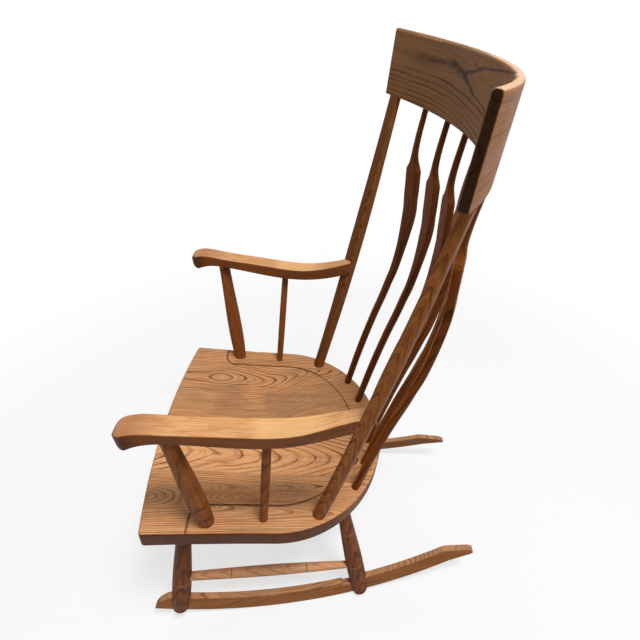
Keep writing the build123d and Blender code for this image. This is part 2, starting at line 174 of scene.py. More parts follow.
class Graph:
    """The node tree of one material or world, and the ways to add nodes to it."""

    def __init__(self, name: str, world: bool = False) -> None:
        """Start an empty material, or the world, of that name.

        Args:
            name: The name.
            world: Whether it is the world.
        """
        self.owner = (bpy.data.worlds if world else bpy.data.materials).new(name)
        self.owner.use_nodes = True
        self.tree = self.owner.node_tree
        self.tree.nodes.clear()

    def node(
        self, kind: str, settings: dict[str, Any] | None = None, sockets: dict[Any, Any] | None = None
    ) -> Any:
        """Add any node.

        Args:
            kind: The node's type.
            settings: Its own settings, set first. The points of a curve are knots.
            sockets: Its inputs by name or number: numbers, colours, terms, arrows or sockets.

        Returns:
            The new node.
        """
        node = self.tree.nodes.new(kind)
        for name, value in (settings or {}).items():
            if name == "points":
                self.set_points(node.mapping, value)
            else:
                setattr(node, name, value)
        for name, value in (sockets or {}).items():
            if isinstance(value, Wired):
                value = value.socket
            if isinstance(value, Socket):
                self.tree.links.new(value, node.inputs[name])
            else:
                node.inputs[name].default_value = value
        return node

    @staticmethod
    def set_points(mapping: bpy.types.CurveMapping, points: Curve) -> None:
        """Write the points of a curve.

        Args:
            mapping: The curve's mapping.
            points: The place and value of each point, and its handle where it isn't soft.
        """
        line = mapping.curves[0]
        while len(line.points) < len(points):
            line.points.new(1.0, 1.0)
        for point, (place, value, *handle) in zip(line.points, points):
            point.location = (place, value)
            point.handle_type = handle[0] if handle else SOFT
        mapping.update()

    def maths(self, operation: str, *values: Any) -> Term:
        """Add a Math node with that operation, on numbers or terms."""
        node = self.node("ShaderNodeMath", {"operation": operation}, dict(enumerate(values)))
        return Term(self, node.outputs[0])

    def join(self, x: Any, y: Any, z: Any) -> Arrow:
        """A vector made of three terms or numbers."""
        return Arrow(self, self.node("ShaderNodeCombineXYZ", {}, {"X": x, "Y": y, "Z": z}).outputs[0])

    def place(self) -> Arrow:
        """Where a point of the surface is, in millimetres."""
        return Arrow(self, self.node("ShaderNodeTexCoord").outputs["Object"]) * (1 / MM)

    def facing(self) -> Arrow:
        """The direction that the surface faces."""
        return Arrow(self, self.node("ShaderNodeTexCoord").outputs["Normal"])

    def noise(self, where: Arrow, detail: float = 2.0, rough: float = 0.5) -> Term:
        """Cloudy noise centred on 0.5, with clouds 1 unit long and finer layers of some roughness."""
        sockets = {"Vector": where, "Scale": 1.0, "Detail": detail, "Roughness": rough}
        return Term(self, self.node("ShaderNodeTexNoise", {}, sockets).outputs[0])

    def line(self, share: Term, points: Curve) -> Term:
        """Read a drawn curve at a share from 0 to 1."""
        node = self.node("ShaderNodeFloatCurve", {"points": points}, {"Value": share})
        return Term(self, node.outputs[0])

    def mix(self, share: Any, first: Any, second: Any, blend: str = "MIX") -> Socket:
        """Mix a share of the second colour into the first. Both are linear colours or sockets."""
        settings = {"data_type": "RGBA", "blend_type": blend, "clamp_factor": True}
        return self.node("ShaderNodeMix", settings, {0: share, 6: first, 7: second}).outputs[2]

    def shaded(self, colour: Socket, level: Term) -> Socket:
        """A colour multiplied by a varying level near 1."""
        grey = self.node("ShaderNodeCombineColor", {}, {0: level, 1: level, 2: level}).outputs[0]
        return self.mix(1.0, colour, grey, "MULTIPLY")


# ---- the wood
@dataclass(frozen=True)
class Stain:
    """One stained and lacquered wood: display colours, the strengths of its figure, and its sheen.

    Lengths are in millimetres. A turn is how far the surface has to face that way for a mask to start, and
    for it to be full.
    """

    pale: Colour
    deep: Colour
    streak: Colour
    # The side colour, on faces across the grain, is partly the wood's own and partly painted shade and light
    # on those faces.
    side: Colour
    end: Colour
    # The worn colour pales the arrises: partly rubbed finish, partly a painted highlight along the edges.
    worn: Colour
    scribed: Colour = (84, 48, 30)
    lines: float = 0.8
    hairs: float = 0.25
    streaks: float = 0.5
    sides: float = 0.6
    ends: float = 0.9
    clouds: float = 0.5
    patches: float = 0.16
    pore_dark: float = 0.22
    wear: float = 0.35
    arris: float = 2.6
    arris_turn: Pair = (0.03, 0.22)
    end_turn: Pair = (0.55, 0.92)
    side_turn: Pair = (0.45, 0.85)
    roughness: float = 0.46
    pore_rough: float = 0.12
    cloud_rough: float = 0.1
    end_rough: float = 0.15
    wear_smooth: float = 0.05
    shine: float = 0.07
    coat: float = 0.0
    coat_rough: float = 0.22
    relief: float = 0.35
    relief_depth: float = 0.35
    line_dip: float = 0.35
    pore_dip: float = 0.5
    hair_dip: float = 0.25


class Finish(Enum):
    """The stained woods of the chair."""

    SEAT = Stain(
        pale=(226, 167, 116), deep=(78, 40, 20), streak=(180, 122, 74), side=(92, 37, 7), end=(90, 40, 8),
        worn=(216, 158, 108), lines=0.95, hairs=0.34, streaks=0.55, sides=0.92, patches=0.32, wear=0.2,
        shine=0.08, coat=0.02,
    )
    # The crest's arrises are paled strongly, which paints the highlight along its top edge as well as wear.
    CREST = Stain(
        pale=(158, 112, 72), deep=(70, 40, 22), streak=(134, 92, 58), side=(170, 120, 74), end=(38, 14, 2),
        worn=(216, 170, 126), lines=0.95, hairs=0.3, streaks=0.3, sides=0.5, patches=0.2, wear=0.6,
    )
    POST = Stain(
        pale=(158, 98, 48), deep=(58, 24, 6), streak=(118, 66, 30), side=(98, 50, 20), end=(74, 36, 14),
        worn=(160, 100, 52), lines=0.62, hairs=0.4, streaks=0.6, sides=0.5, wear=0.3,
    )
    SPINDLE = Stain(
        pale=(142, 78, 28), deep=(56, 22, 6), streak=(104, 52, 14), side=(92, 44, 14), end=(74, 36, 14),
        worn=(182, 126, 84), lines=0.75, hairs=0.3, streaks=0.6, sides=0.5, wear=0.45,
    )
    ARM = Stain(
        pale=(238, 184, 128), deep=(156, 92, 46), streak=(202, 138, 88), side=(106, 52, 12),
        end=(112, 62, 26), worn=(246, 200, 146), lines=0.35, hairs=0.5, streaks=0.7, sides=0.92,
        patches=0.2, wear=0.4, shine=0.1, coat=0.03,
    )
    SUPPORT = Stain(
        pale=(164, 98, 50), deep=(76, 36, 14), streak=(124, 68, 32), side=(124, 68, 32), end=(74, 36, 14),
        worn=(170, 110, 62), lines=0.7, hairs=0.3, streaks=0.7, sides=0.2, wear=0.15,
    )
    LEG = Stain(
        pale=(156, 92, 56), deep=(66, 34, 20), streak=(106, 60, 38), side=(106, 60, 38), end=(80, 44, 26),
        worn=(160, 106, 72), scribed=(196, 150, 116), lines=0.7, hairs=0.3, streaks=0.7, sides=0.2,
        wear=0.15,
    )
    STRETCHER = Stain(
        pale=(236, 178, 132), deep=(160, 102, 66), streak=(206, 150, 108), side=(206, 150, 108),
        end=(140, 84, 50), worn=(232, 186, 144), lines=0.5, sides=0.1, wear=0.15,
    )
    ROCKER = Stain(
        pale=(190, 124, 70), deep=(104, 56, 26), streak=(152, 90, 46), side=(204, 152, 112),
        end=(120, 72, 40), worn=(208, 160, 116), lines=0.6, hairs=0.3, streaks=0.6, sides=0.7, wear=0.4,
    )
    PIN = Stain(
        pale=(206, 152, 116), deep=(160, 108, 78), streak=(190, 136, 100), side=(190, 136, 100),
        end=(206, 152, 116), worn=(214, 164, 130), lines=0.4, hairs=0.2, streaks=0.4, sides=0.2, wear=0.2,
    )


@dataclass(frozen=True)
class Mottle:
    """Noise drawn out along the grain: lengths in millimetres along, across and into the wood.

    The levels are where it starts and ends its rise as a mask. A shared one is the same on every piece.
    """

    lengths: Point
    seed: float
    levels: Pair = (0.3, 0.7)
    detail: float = 2.0
    rough: float = 0.5
    shared: bool = False


@dataclass(frozen=True)
class Figure:
    """What the figure of every piece shares, with lengths in millimetres and levels of the noise.

    The late wood rises from its start, less the width of the cut's line, until it is full, less a part of
    that width, and falls from its stop to the ring's end. All of these are shares of a ring.
    """

    seed_slant: float = 0.7
    sway: Mottle = Mottle((210.0, 60.0, 60.0), 3.1)
    sway_rings: float = 3.2
    ripple: Mottle = Mottle((46.0, 16.0, 16.0), 9.4)
    ripple_rings: float = 1.1
    breaks: Mottle = Mottle((60.0, 22.0, 22.0), 21.0, (0.3, 0.55))
    pores: Mottle = Mottle((9.0, 0.75, 0.75), 5.0, (0.56, 0.68), rough=0.55, shared=True)
    streaks: Mottle = Mottle((150.0, 7.0, 7.0), 17.0, (0.46, 0.7), 3.0, 0.6)
    clouds: Mottle = Mottle((95.0, 38.0, 38.0), 31.0)
    depth_share: float = 0.5
    tail_share: float = 0.85
    tail_ease: float = 4.0
    late_start: float = 0.96
    late_full: float = 0.94
    late_widening: float = 0.2
    late_stop: float = 0.95
    strong_rings: float = 0.45
    strong_length: float = 260.0
    strong_levels: Pair = (0.3, 0.6)
    weakest: float = 0.35
    faintest: float = 0.45
    hair_rings: float = 3.4
    hair_lengths: Pair = (90.0, 160.0)
    hair_detail: float = 3.0
    hair_rough: float = 0.6
    hair_levels: Pair = (0.42, 0.68)


FIGURE = Figure()


@dataclass(frozen=True)
class Cut:
    """How a piece lay in its log, in millimetres: its grain frame and its growth rings.

    The heart and the depth place the pith across and under the face. The arches climb a ring in each arch
    length from their centre, rounded within the ease. With a reach they die out sideways, and with a tail
    they climb less past that many rings, before the centre. The line is the dark share of a ring, and the
    wander is how unevenly the rings run. The drift moves the pith across, over its span along the grain.
    """

    origin: Point
    along: Point
    face: Point
    heart: float = 0.0
    depth: float = 25.0
    ring: float = 4.0
    arch: float = 45.0
    arch_reach: float = 0.0
    arch_centre: float = -3000.0
    arch_ease: float = 14.0
    arch_tail: float = 0.0
    line: float = 0.4
    wander: float = 0.8
    drift: float = 0.0
    drift_span: Pair = (0.0, 1.0)
    phase: float = 0.0

    def axes(self) -> tuple[Vector, Vector, Vector]:
        """Work out the grain frame.

        Returns:
            Unit directions along the grain, across the face and out of the face.
        """
        along = Vector(self.along).normalized()
        face = Vector(self.face)
        face = (face - along * face.dot(along)).normalized()
        return along, along.cross(face), face


class Grain:
    """The grain of one piece in a graph: its coordinates, rings, lines and mottles."""

    def __init__(self, graph: Graph, cut: Cut) -> None:
        """Set the piece's grain coordinates up, straight along the cut's direction.

        Args:
            graph: The material's graph.
            cut: How the piece lay in its log.
        """
        self.graph = graph
        self.cut = cut
        offset, normal = graph.place() - cut.origin, graph.facing()
        self.u, self.v, self.w = (offset.dot(axis) for axis in cut.axes())
        self.turn(*(normal.dot(axis) for axis in cut.axes()))

    def turn(self, along: Term, across: Term, out: Term) -> None:
        """Keep how far the surface faces along the grain, across it and out of the face."""
        self.end_on, self.edge_on, self.face_on = along.size(), across.size(), out

    def where(self, lengths: Point, seed: float) -> Arrow:
        """The grain coordinates, each divided by its own length and moved on by a seed."""
        parts = zip((self.u, self.v, self.w), lengths, (seed, seed * FIGURE.seed_slant, -seed))
        return self.graph.join(*(part / length + move for part, length, move in parts))

    def noise(self, mottle: Mottle) -> Term:
        """A mottle of this piece as noise centred on 0.5."""
        seed = mottle.seed if mottle.shared else mottle.seed + self.cut.phase
        return self.graph.noise(self.where(mottle.lengths, seed), mottle.detail, mottle.rough)

    def mask(self, mottle: Mottle) -> Term:
        """A mottle of this piece as a mask from 0 to 1."""
        return self.noise(mottle).rise(*mottle.levels)

    def rings(self) -> Term:
        """Count the growth rings outwards from the pith.

        Returns:
            The varying number of the ring.
        """
        cut = self.cut
        across = self.v - cut.heart
        if cut.drift:
            across = across + self.u.rise(*cut.drift_span) * cut.drift
        deep = self.w * FIGURE.depth_share + cut.depth
        climb = ((self.u - cut.arch_centre) ** 2.0 + cut.arch_ease**2).root() / cut.arch
        if cut.arch_tail:
            past = (climb - cut.arch_tail).most(0.0)
            tail = self.u.rise(cut.arch_centre, cut.arch_centre - FIGURE.tail_ease)
            climb = climb - past * tail * FIGURE.tail_share
        if cut.arch_reach:
            climb = climb / (1 + (across / cut.arch_reach) ** 2.0)
        rings = (across * across + deep * deep).root() / cut.ring + climb
        sway = self.noise(FIGURE.sway).swing(FIGURE.sway_rings * cut.wander)
        ripple = self.noise(FIGURE.ripple).swing(FIGURE.ripple_rings * cut.wander)
        return rings + sway + ripple + cut.phase

    def growth_lines(self, rings: Term) -> Term:
        """Draw the late wood, which fades in over each ring, stops sharply and differs from ring to ring.

        Args:
            rings: The number of the ring.

        Returns:
            A mask from 0 to 1.
        """
        share, width = rings.fraction(), self.cut.line
        full = FIGURE.late_full - width * FIGURE.late_widening
        line = share.rise(FIGURE.late_start - width, full) * share.rise(1.0, FIGURE.late_stop)
        where = self.graph.join(rings * FIGURE.strong_rings, self.u / FIGURE.strong_length, 0.0)
        strong = self.graph.noise(where, 1.0).rise(*FIGURE.strong_levels)
        return line * strong.span(FIGURE.weakest, 1.0) * self.mask(FIGURE.breaks).span(FIGURE.faintest, 1.0)

    def fine_lines(self, rings: Term) -> Term:
        """Draw the hair lines that run with the rings.

        Args:
            rings: The number of the ring.

        Returns:
            A mask from 0 to 1.
        """
        along, across = FIGURE.hair_lengths
        where = self.graph.join(rings * FIGURE.hair_rings, self.u / along, self.v / across)
        noise = self.graph.noise(where, FIGURE.hair_detail, FIGURE.hair_rough)
        return noise.rise(*FIGURE.hair_levels)


class CurvedGrain(Grain):
    """Grain that follows a stick bent towards its back."""

    def __init__(self, graph: Graph, cut: Cut, length: float, bow: float, bends: Curve) -> None:
        """Set the grain coordinates up and straighten the bend out of them.

        Args:
            graph: The material's graph.
            cut: How the piece lay in its log.
            length: The stick's length.
            bow: How far it is bent against the face at most.
            bends: The share of the bow along its length.
        """
        super().__init__(graph, cut)
        share = (self.u / length).most(0.0).least(1.0)
        self.w = self.w + graph.line(share, bends) * bow


class HoopGrain(Grain):
    """Grain that runs round a board bent to an arc: u round it, v up it, w through it."""

    def __init__(self, graph: Graph, cut: Cut, radius: float) -> None:
        """Set the coordinates up from the arc's centre.

        Args:
            graph: The material's graph.
            cut: How the piece lay in its log, with the arc's axis as its face.
            radius: The arc's radius.
        """
        super().__init__(graph, cut)
        out, side, up = self.u, self.v, self.w
        reach = (out * out + side * side).root()
        self.u, self.v, self.w = graph.maths("ARCTAN2", side, out) * radius, up, reach - radius
        normal = graph.facing()
        n_out, n_side, n_up = (normal.dot(axis) for axis in cut.axes())
        inwards = 0 - (n_out * out + n_side * side) / reach
        self.turn((n_side * out - n_out * side) / reach, n_up, inwards)


@dataclass(frozen=True)
class Stroke:
    """A ragged dark streak between two places in grain coordinates, in millimetres."""

    start: Pair
    end: Pair
    width: float
    strength: float
    ragged: float = 7.0
    core: float = 0.25
    tatters: Point = (12.0, 6.0, 40.0)
    detail: float = 5.0
    rough: float = 0.7

    def mask(self, grain: Grain) -> Term:
        """Draw the streak, by the distance from its line.

        Args:
            grain: The grain of the piece it lies on.

        Returns:
            A mask from 0 to its strength.
        """
        run, climb = self.end[0] - self.start[0], self.end[1] - self.start[1]
        u, v = grain.u - self.start[0], grain.v - self.start[1]
        share = ((u * run + v * climb) / (run * run + climb * climb)).most(0.0).least(1.0)
        away = ((u - share * run) ** 2.0 + (v - share * climb) ** 2.0).root()
        tatters = grain.graph.noise(grain.where(self.tatters, self.width), self.detail, self.rough)
        away = away + tatters.swing(self.ragged)
        return away.rise(self.width, self.width * self.core) * self.strength


class Wood:
    """Builds the material of one piece from its finish and its grain."""

    def __init__(self, piece: str, finish: Finish, level: float = 1.0) -> None:
        """Start the material of a piece.

        Args:
            piece: The piece's name.
            finish: Its stained wood.
            level: What its colour is multiplied by.
        """
        self.piece = piece
        self.graph = Graph(f"{piece}_finish")
        self.stain: Stain = finish.value
        self.level = level
        self.marks: list[tuple[Term, Colour]] = []
        self.plain: Term | None = None
        self.tone: Term | None = None

    def mark(self, mask: Term, colour: Colour) -> None:
        """Lay a colour over the wood where the mask says."""
        self.marks.append((mask, colour))

    def laid(self, under: Any, *layers: tuple[Term, Colour]) -> Socket:
        """Lay colours over a colour.

        Args:
            under: The colour under them, as a linear colour or a socket.
            *layers: The mask and the display colour of each.

        Returns:
            The socket of the colour that comes out.
        """
        for mask, colour in layers:
            under = self.graph.mix(mask, under, linear(colour))
        return under

    def edge_wear(self) -> Term:
        """Find the arrises, paled by rubbed finish and by a painted highlight along the edges.

        Returns:
            A mask from 0 to 1.
        """
        bevel = self.graph.node("ShaderNodeBevel", {"samples": 4}, {"Radius": self.stain.arris * MM})
        true = Arrow(self.graph, self.graph.node("ShaderNodeNewGeometry").outputs["Normal"])
        return (1 - Arrow(self.graph, bevel.outputs[0]).dot(true)).rise(*self.stain.arris_turn)

    def material(self, grain: Grain) -> bpy.types.Material:
        """Put the colour, sheen and relief together.

        Args:
            grain: The piece's grain.

        Returns:
            The finished material.
        """
        graph, stain = self.graph, self.stain
        rings = grain.rings()
        lines = grain.growth_lines(rings)
        if self.plain is not None:
            lines = lines * (1 - self.plain)
        hairs = grain.fine_lines(rings)
        pores, streaks = grain.mask(FIGURE.pores), grain.mask(FIGURE.streaks)
        clouds = grain.mask(FIGURE.clouds)
        end = grain.end_on.rise(*stain.end_turn)
        # Faces across the grain take the side colour: partly the wood's own, partly painted shade and light.
        side = grain.edge_on.rise(*stain.side_turn) * (1 - end)
        wear = self.edge_wear()

        colour = self.laid(
            linear(stain.pale),
            (clouds * stain.clouds, stain.streak), (streaks * stain.streaks, stain.streak),
            (side * stain.sides, stain.side), (hairs * stain.hairs, stain.deep),
            (lines * stain.lines, stain.deep), (end * stain.ends, stain.end),
        )
        level = self.level - pores * stain.pore_dark + clouds.swing(stain.patches)
        colour = self.laid(graph.shaded(colour, level), *self.marks)
        if self.tone is not None:
            colour = graph.shaded(colour, self.tone)
        rough = stain.roughness + pores * stain.pore_rough + clouds.swing(stain.cloud_rough)
        height = 0 - lines * stain.line_dip - pores * stain.pore_dip - hairs * stain.hair_dip
        relief = {"Strength": stain.relief, "Distance": stain.relief_depth * MM, "Height": height}
        sockets = {
            # Pale arrises: rubbed finish and a painted highlight along the edges.
            "Base Color": self.laid(colour, (wear * stain.wear, stain.worn)),
            "Roughness": rough + end * stain.end_rough - wear * stain.wear_smooth,
            "Specular IOR Level": stain.shine,
            "Coat Weight": stain.coat,
            "Coat Roughness": stain.coat_rough,
            "Normal": graph.node("ShaderNodeBump", {}, relief).outputs[0],
        }
        shader = graph.node("ShaderNodeBsdfPrincipled", {}, sockets)
        graph.node("ShaderNodeOutputMaterial", {}, {"Surface": shader.outputs[0]})
        return graph.owner

    def dress(self, grain: Grain) -> None:
        """Give the CAD node of the piece's name this finish in each of its material slots.

        Args:
            grain: The piece's grain.
        """
        node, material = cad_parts[self.piece], self.material(grain)
        if not node.material_slots:
            node.data.materials.append(material)
        for slot in node.material_slots:
            slot.material = material
        LOG.info("finished %s", self.piece)


class Side(Enum):
    """The two sides of the chair, as the sign of x. Left is the sitter's left."""

    LEFT = 1.0
    RIGHT = -1.0

    @property
    def word(self) -> str:
        """The side's name in the nodes."""
        return self.name.lower()

    def mirrored(self, point: Point) -> Point:
        """A point or direction of the left side, on this side."""
        return (point[0] * self.value, point[1], point[2])

    def of(self, pair: Pair) -> float:
        """This side's one of two values, the left one first."""
        return pair[self is Side.RIGHT]


def stick_cut(side: Side, foot: Point, head: Point, face: Point, **rings: float) -> Cut:
    """The cut of a stick whose grain runs from its foot to its head.

    Args:
        side: The side it stands on.
        foot: The lower end of the left one's axis.
        head: The upper end of the left one's axis.
        face: A direction across the left one, towards the flat-sawn side.
        **rings: The cut's ring sizes.

    Returns:
        The cut.
    """
    low, high = side.mirrored(foot), side.mirrored(head)
    along = tuple(Vector(high) - Vector(low))
    return Cut(origin=low, along=along, face=side.mirrored(face), **rings)


def placed(name: str, data: Any) -> bpy.types.Object:
    """Put an object in the scene.

    Args:
        name: Its name.
        data: Its mesh, lamp or camera.

    Returns:
        The object.
    """
    thing = bpy.data.objects.new(name, data)
    bpy.context.scene.collection.objects.link(thing)
    return thing


# ---- the seat
@dataclass
class Seat:
    """Five boards with one figure each, a dark scribed groove, greyer patches of painted sheen and a band of
    painted shadow from the near arm, in millimetres.
    """

    plane_height: float = 384.5
    fall: float = 0.115
    tones: tuple[float, ...] = (1.04, 0.93, 0.91, 1.18, 1.08)
    groove_half_width: float = 200.0
    groove_depth_back: float = 166.0
    groove_mean: float = 180.0
    groove_centre: float = -71.5
    groove_turn: float = 28.0
    groove_front: float = -236.5
    groove_edge: Pair = (2.3, 0.9)
    groove_facing: Pair = (0.1, 0.3)
    groove_strength: float = 0.7
    groove_dark: Colour = (64, 36, 20)
    out_of_reach: float = 99.0
    far_boards: tuple[int, ...] = (2, 3)
    far_calm: Pair = (-112.0, -82.0)
    far_calm_share: float = 0.5
    slope_board: int = 5
    slope_calm: Pair = (0.3, 0.45)
    # Painted sheen: greyer ragged patches on the far boards, where the lacquer catches the light.
    sheens: tuple[Pair, ...] = ((-232.0, -166.0), (-122.0, -52.0))
    sheen_across: Pair = (-124.0, -38.0)
    sheen_soft: Pair = (12.0, 16.0)
    sheen_ragged: float = 26.0
    sheen_strength: float = 0.36
    sheen_colour: Colour = (140, 106, 80)
    # Painted shadow of the near arm: a darker band along the near slope of the dish.
    shade_across: Pair = (148.0, 200.0)
    shade_along: Pair = (-330.0, 10.0)
    shade_soft: Pair = (12.0, 40.0)
    shade_strength: float = 0.25

    def cuts(self) -> tuple[Cut, ...]:
        """Lay each board in its log.

        Returns:
            The cuts of the boards, far right first.
        """
        origin, along, face = (0.0, 0.0, self.plane_height), (0.0, 1.0, -self.fall), (0.0, self.fall, 1.0)
        shared: dict[str, Any] = {"origin": origin, "along": along, "face": face}
        far = Cut(
            **shared, heart=-150.0, depth=24.0, ring=6.6, arch=31.0, arch_centre=-240.0, arch_tail=1.25,
            wander=0.3, line=0.3, drift=42.0, drift_span=(-140.0, 20.0), phase=0.15,
        )
        near = Cut(**shared, heart=80.0, depth=44.0, ring=8.0, arch=40.0, wander=0.36, line=0.24, phase=0.1)
        slope = Cut(
            **shared, heart=184.0, depth=6.0, ring=4.2, arch=14.0, arch_reach=15.0, arch_centre=-330.0,
            wander=0.4, phase=0.6,
        )
        edge = Cut(
            **shared, heart=-420.0, depth=60.0, ring=6.0, arch=260.0, wander=0.45, line=0.42, phase=0.4
        )
        return (edge, far, far, near, slope)

    def groove(self, grain: Grain) -> Term:
        """Draw the scribed groove by the distance from its line: a back arc, a side, a corner and a front.

        Beyond the ends of each of these stretches, its distance is put out of reach.

        Args:
            grain: The board's grain.

        Returns:
            A mask from 0 to 1.
        """
        x, y = grain.v.size(), grain.u
        wide, centre, front = self.groove_half_width, self.groove_centre, self.groove_front
        turn_x, turn_y = wide + self.groove_turn, front + self.groove_turn
        arc = ((x / wide) ** 2.0 + ((y - centre) / self.groove_depth_back) ** 2.0).root() - 1
        corner = ((x - turn_x) ** 2.0 + (y - turn_y) ** 2.0).root() - self.groove_turn
        stretches = (
            (arc * self.groove_mean, y.rise(centre, centre - 1.0)),
            (x - wide, y.rise(centre, centre + 1.0) + y.rise(turn_y, turn_y - 1.0)),
            (corner, x.rise(turn_x, turn_x + 1.0) + y.rise(turn_y, turn_y + 1.0)),
            (y - front, x.rise(turn_x, turn_x - 1.0)),
        )
        first, *rest = (away.size() + beyond * self.out_of_reach for away, beyond in stretches)
        for away in rest:
            first = first.least(away)
        return first.rise(*self.groove_edge) * grain.face_on.rise(*self.groove_facing)

    def build(self) -> None:
        """Dress the five boards."""
        for number, (cut, tone) in enumerate(zip(self.cuts(), self.tones), start=1):
            wood = Wood(f"seat_board_{number}", Finish.SEAT)
            grain = Grain(wood.graph, cut)
            # Painted shadow: the arm's shade darkens a band of the boards under it, and holds back the slope
            # board's growth lines there.
            shade = grain.v.band(*self.shade_across, self.shade_soft[0])
            shade = shade * grain.u.band(*self.shade_along, self.shade_soft[1])
            wood.tone = tone - shade * self.shade_strength
            if number in self.far_boards:
                wood.plain = grain.v.rise(*self.far_calm) * self.far_calm_share
            if number == self.slope_board:
                wood.plain = shade.span(*self.slope_calm)
            # Painted sheen: greyer ragged patches, laid on each board where they fall.
            ragged = grain.mask(FIGURE.clouds).swing(self.sheen_ragged)
            across = (grain.v - ragged).band(*self.sheen_across, self.sheen_soft[1])
            for low, high in self.sheens:
                patch = (grain.u + ragged).band(low, high, self.sheen_soft[0]) * across
                wood.mark(patch * self.sheen_strength, self.sheen_colour)
            wood.mark(self.groove(grain) * self.groove_strength, self.groove_dark)
            wood.dress(grain)


# ---- shapes made by nodes
class ShapeGraph(Graph):
    """A Geometry Nodes tree with named inputs, and the same ways to add nodes."""

    def __init__(self, name: str, inputs: dict[str, str]) -> None:
        """Start a tree.

        Args:
            name: The tree's name.
            inputs: The type of each input socket by its name.
        """
        self.tree = bpy.data.node_groups.new(name, "GeometryNodeTree")
        self.keys: dict[str, str] = {}
        for label, kind in inputs.items():
            socket = self.tree.interface.new_socket(label, in_out="INPUT", socket_type=kind)
            self.keys[label] = socket.identifier
        self.tree.interface.new_socket("Geometry", in_out="OUTPUT", socket_type="NodeSocketGeometry")
        self.entry = self.node("NodeGroupInput")

    def number(self, label: str) -> Term:
        """A named input as a number."""
        return Term(self, self.entry.outputs[label])

    def vector(self, label: str) -> Arrow:
        """A named input as a vector."""
        return Arrow(self, self.entry.outputs[label])

    def step(self, kind: str, geometry: Any, settings: dict[str, Any], **sockets: Any) -> Any:
        """Add a node that changes geometry.

        Args:
            kind: The node's type.
            geometry: The geometry that it takes.
            settings: Its own settings.
            **sockets: Its other inputs by name, with _ for a space.

        Returns:
            The changed geometry.
        """
        named = {name.replace("_", " "): value for name, value in sockets.items()}
        return self.node(kind, settings, {"Geometry": geometry, **named}).outputs[0]


